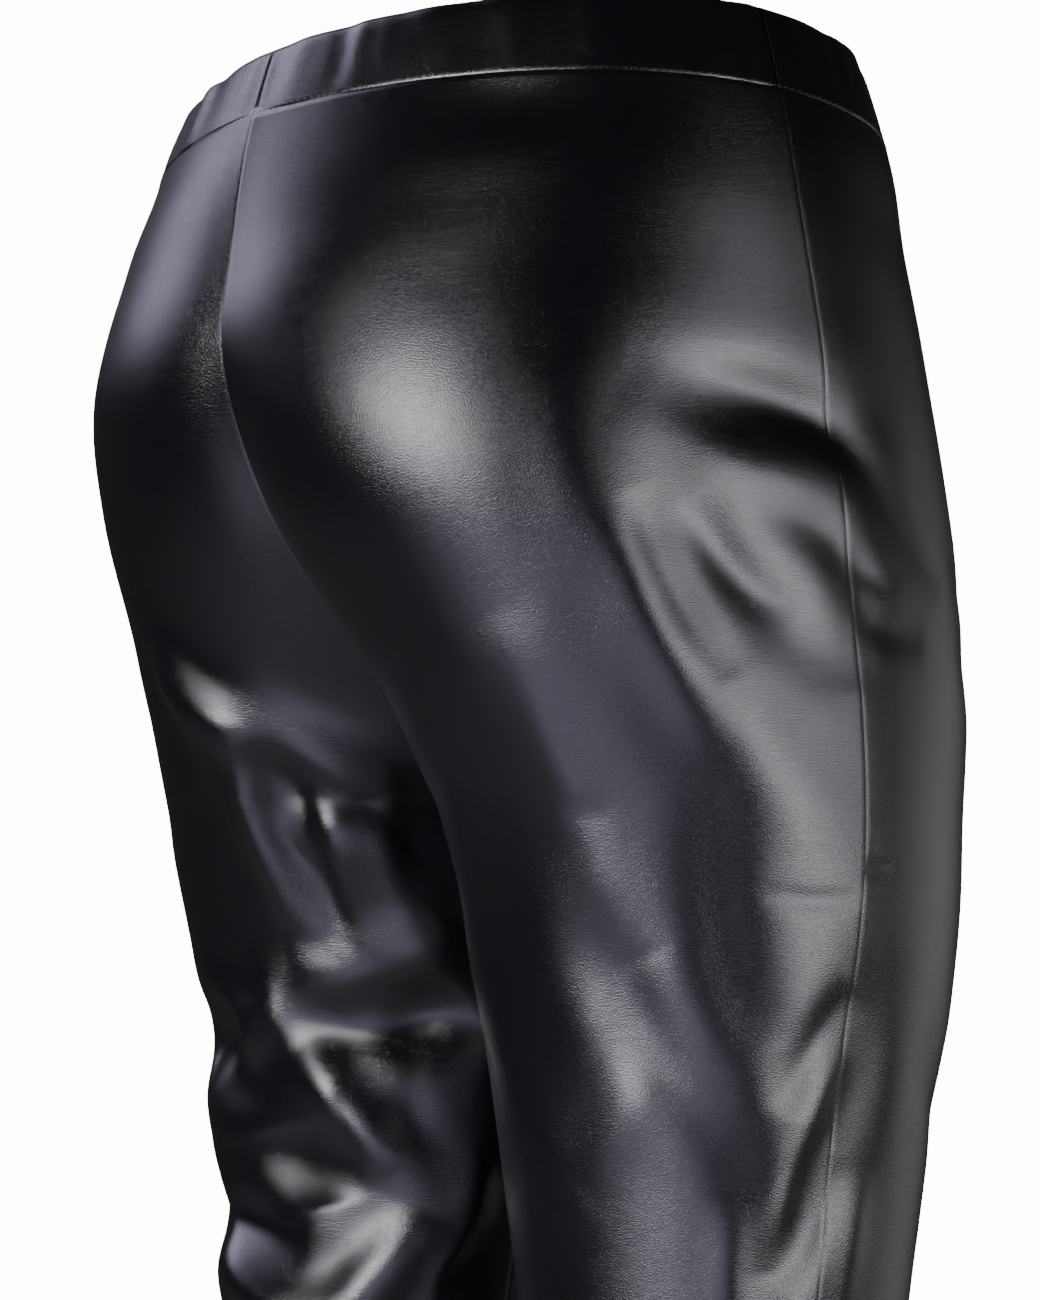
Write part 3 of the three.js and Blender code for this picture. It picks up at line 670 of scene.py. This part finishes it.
CASING_END_ZONE = 3 * MM
CASING_CELL = 1.4 * MM
CASING_TALL = 25 * MM       # its height for the cloth's own UV, and for the ripple of its top edge
END_CALM = 6 * MM           # the ripple grows over this distance from a seam
END_SINK = 0.6 * MM         # how far a quarter's end sinks in at its seam
END_SINK_WIDTH = 0.9 * MM
TOP_RIPPLE = 0.35           # how much of the ripple lifts the top edge
LEG_PHASE = {"right": 0.0, "left": 1.9}
FACE_PHASE = {"back": 0.0, "front": 2.6}


def casing_ripple(at, phase):
    """Uneven waves along the casing: short ones whose height comes and goes, on longer ones."""
    short = (np.sin(at / 0.0031 + phase + 1.7 * np.sin(at / 0.013 + phase))
             * (0.6 + 0.4 * np.sin(at / 0.021 + 2 * phase)))
    long = np.sin(at / 0.0092 + 2.3 * phase + 1.3 * np.sin(at / 0.027))
    return 0.45 * short + 0.75 * long


def make_casing(leg, face, sizes):
    """A quarter of the casing: satin folded over elastic, its ends at the outseam and the rise seam."""
    feet, rises, outs = casing_rings(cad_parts[f"casing_{face}_{leg}"])
    knots = lengths(feet, 0)
    edge = CASING_END_CELLS
    middle = even_steps(CASING_END_ZONE, knots[-1] - CASING_END_ZONE, CASING_CELL)
    at = np.concatenate([[0], edge, middle, knots[-1] - edge[::-1], [knots[-1]]])
    foot, rise, out = spline(knots, feet, at), spline(knots, rises, at), spline(knots, outs, at)
    foot[-1, 0] = 0
    first = foot[1] - foot[0]
    foot[0] -= first / np.linalg.norm(first) * SEAM_GAP / 2
    end = np.minimum(at, at[-1] - at)
    waves = casing_ripple(at, LEG_PHASE[leg] + FACE_PHASE[face])
    ripple = sizes.casing_ripple * waves * np.clip(end / END_CALM, 0, 1)
    sink = END_SINK * np.exp(-(end / END_SINK_WIDTH) ** 2)
    low = -SEAM_GAP / 2 / np.linalg.norm(rise, axis=1)
    def skin(profile):
        rows = []
        for up, puff, share in profile:
            height = np.full_like(at, up) if up else low
            lift = share * TOP_RIPPLE * ripple * (up > 0.8) / CASING_TALL
            proud = puff * MM + share * ripple - sink
            rows.append(foot + rise * (height + lift)[:, None] + out * proud[:, None])
        return np.array(rows)

    outer, inner = skin(CASING_OUTSIDE), skin(CASING_INSIDE)
    inner_at, outer_at = np.linspace(0, 1, len(CASING_INSIDE)), np.linspace(0, 1, len(CASING_OUTSIDE))
    inner = spline(inner_at, inner, outer_at)
    height = np.array([row[0] for row in CASING_OUTSIDE]) * CASING_TALL
    uv = np.stack(np.broadcast_arrays(at[None, :], -height[:, None]), axis=-1)
    return closed_shell(f"waist_casing_{face}_{leg}", outer, inner, uv), foot, rise, out


class TROUSERS_OT_waist_casing(bpy.types.Operator):
    """Makes the waist casing in its four quarters, rippled by the elastic inside, and its stitching"""
    bl_idname = "trousers.waist_casing"
    bl_label = "Waist casing"

    def execute(self, context):
        sizes = context.scene.trousers_sizes
        material = satin("casing_satin", context.scene.satin_finish)
        sewing = thread("satin_thread", context.scene.satin_finish)
        for leg in HALVES:
            for face in FACES:
                casing, foot, rise, out = make_casing(leg, face, sizes)
                casing.data.materials.append(material)
                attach(casing, "root")
                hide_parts(f"casing_{face}_{leg}")
                line = foot + rise * STITCH_HEIGHT + out * STITCH_PROUD
                stitches = make_stitches(f"casing_stitches_{face}_{leg}", line, out, sizes)
                stitches.data.materials.append(sewing)
                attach(stitches, "root")
        return {"FINISHED"}


def make_stitches(name, line, out, sizes):
    """A row of thread stitches along a line on the cloth: one stitch modelled, then copied along."""
    bpy.ops.object.select_all(action="DESELECT")
    bpy.ops.mesh.primitive_uv_sphere_add(segments=6, ring_count=5, radius=0.5, location=(0, 0, 0))
    model = bpy.context.object
    shape = np.array([v.co for v in model.data.vertices])
    faces = [list(p.vertices) for p in model.data.polygons]
    bpy.data.objects.remove(model)
    along = lengths(line, 0)
    count = int(along[-1] / sizes.stitch_pitch)
    where = (np.arange(count) + 0.5) * along[-1] / count
    place = spline(along, line, where)
    outward = spline(along, out, where)
    way = np.gradient(place, axis=0)
    way /= np.linalg.norm(way, axis=1, keepdims=True)
    outward -= (outward * way).sum(axis=1, keepdims=True) * way
    outward /= np.linalg.norm(outward, axis=1, keepdims=True)
    aside = np.cross(way, outward)
    size = np.array([sizes.stitch_length, sizes.thread * 1.2, sizes.thread])
    local = shape[:, [2, 0, 1]] * size
    points = (place[:, None] + local[None, :, :1] * way[:, None] + local[None, :, 1:2] * aside[:, None]
              + local[None, :, 2:] * outward[:, None])
    everything = [[v + k * len(shape) for v in face] for k in range(count) for face in faces]
    mesh = bpy.data.meshes.new(name)
    mesh.from_pydata(points.reshape(-1, 3).tolist(), [], everything)
    piece = bpy.data.objects.new(name, mesh)
    bpy.context.collection.objects.link(piece)
    select_only(piece)
    bpy.ops.object.mode_set(mode="EDIT")
    bpy.ops.mesh.select_all(action="SELECT")
    bpy.ops.mesh.normals_make_consistent(inside=False)
    bpy.ops.object.mode_set(mode="OBJECT")
    bpy.ops.object.shade_smooth()
    return piece


class TROUSERS_OT_studio(bpy.types.Operator):
    """Sets the pale floor, the soft lights and the camera"""
    bl_idname = "trousers.studio"
    bl_label = "Studio"

    def execute(self, context):
        low = CAD_BOX[0][2]
        bpy.ops.object.select_all(action="DESELECT")
        bpy.ops.mesh.primitive_plane_add(size=FLOOR_SIZE, location=(0, 0, low - FLOOR_DROP))
        floor = context.object
        floor.name = "floor"
        bpy.ops.object.transform_apply(location=True, rotation=True, scale=True)
        pale = bpy.data.materials.new("pale_floor")
        pale.use_nodes = True
        shader = pale.node_tree.nodes["Principled BSDF"]
        shader.inputs["Base Color"].default_value = (FLOOR_GREY, FLOOR_GREY, FLOOR_GREY, 1)
        shader.inputs["Roughness"].default_value = 0.9
        floor.data.materials.append(pale)
        studio_world(context)
        for lamp in SOFTBOXES:
            softbox(*lamp)
        view = bpy.data.cameras.new("camera")
        view.sensor_width = 36
        view.lens = CAMERA_LENS
        view.shift_x = CAMERA_SHIFT
        camera = bpy.data.objects.new("camera", view)
        camera.location = CAMERA_PLACE
        aim = Vector(CAMERA_AIM) - camera.location
        camera.rotation_euler = aim.to_track_quat("-Z", "Y").to_euler()
        context.collection.objects.link(camera)
        context.scene.camera = camera
        return {"FINISHED"}


def softbox(name, azimuth, distance, height, size, power, spread, colour):
    """A soft rectangular light; azimuth runs from the front (0) over the wearer's left (90) to the back."""
    turn = math.radians(azimuth)
    lamp = bpy.data.lights.new(name, "AREA")
    lamp.shape = "RECTANGLE"
    lamp.size, lamp.size_y = size
    lamp.energy = power
    lamp.color = colour
    lamp.spread = math.radians(spread)
    light = bpy.data.objects.new(name, lamp)
    light.location = (math.sin(turn) * distance, -math.cos(turn) * distance, height)
    aim = Vector(LAMP_AIM) - light.location
    light.rotation_euler = aim.to_track_quat("-Z", "Y").to_euler()
    bpy.context.collection.objects.link(light)


def studio_world(context):
    """A white backdrop behind the trousers, and a dim surround that lights them."""
    world = bpy.data.worlds.new("studio")
    context.scene.world = world
    world.use_nodes = True
    tree = world.node_tree
    surround = tree.nodes["Background"]
    surround.inputs["Color"].default_value = (1, 1, 1, 1)
    surround.inputs["Strength"].default_value = SURROUND_LIGHT
    backdrop = tree.nodes.new("ShaderNodeBackground")
    backdrop.inputs["Color"].default_value = (1, 1, 1, 1)
    backdrop.inputs["Strength"].default_value = BACKDROP_LIGHT
    path = tree.nodes.new("ShaderNodeLightPath")
    mix = tree.nodes.new("ShaderNodeMixShader")
    link(tree, path.outputs["Is Camera Ray"], mix.inputs["Fac"])
    link(tree, surround.outputs["Background"], mix.inputs[1])
    link(tree, backdrop.outputs["Background"], mix.inputs[2])
    link(tree, mix.outputs["Shader"], tree.nodes["World Output"].inputs["Surface"])


class TROUSERS_PT_pieces(bpy.types.Panel):
    """Lists the trousers' pieces and their sizes"""
    bl_idname = "TROUSERS_PT_pieces"
    bl_label = "Satin trousers"
    bl_space_type = "VIEW_3D"
    bl_region_type = "UI"
    bl_category = "Trousers"

    def draw(self, context):
        column = self.layout.column()
        for settings in (context.scene.trousers_sizes, context.scene.satin_finish):
            for name in settings.__annotations__:
                column.prop(settings, name)
        for operator in OPERATORS:
            column.operator(operator.bl_idname)


GROUPS = (TrousersSizes, SatinFinish)
OPERATORS = (TROUSERS_OT_leg_panels, TROUSERS_OT_waist_casing, TROUSERS_OT_studio)


def register():
    for cls in GROUPS + OPERATORS + (TROUSERS_PT_pieces,):
        bpy.utils.register_class(cls)
    bpy.types.Scene.trousers_sizes = PointerProperty(type=TrousersSizes)
    bpy.types.Scene.satin_finish = PointerProperty(type=SatinFinish)


def unregister():
    del bpy.types.Scene.trousers_sizes
    del bpy.types.Scene.satin_finish
    for cls in reversed(GROUPS + OPERATORS + (TROUSERS_PT_pieces,)):
        bpy.utils.unregister_class(cls)


def main():
    register()
    bpy.ops.trousers.leg_panels()
    bpy.ops.trousers.waist_casing()
    bpy.ops.trousers.studio()


if __name__ == "__main__":
    main()
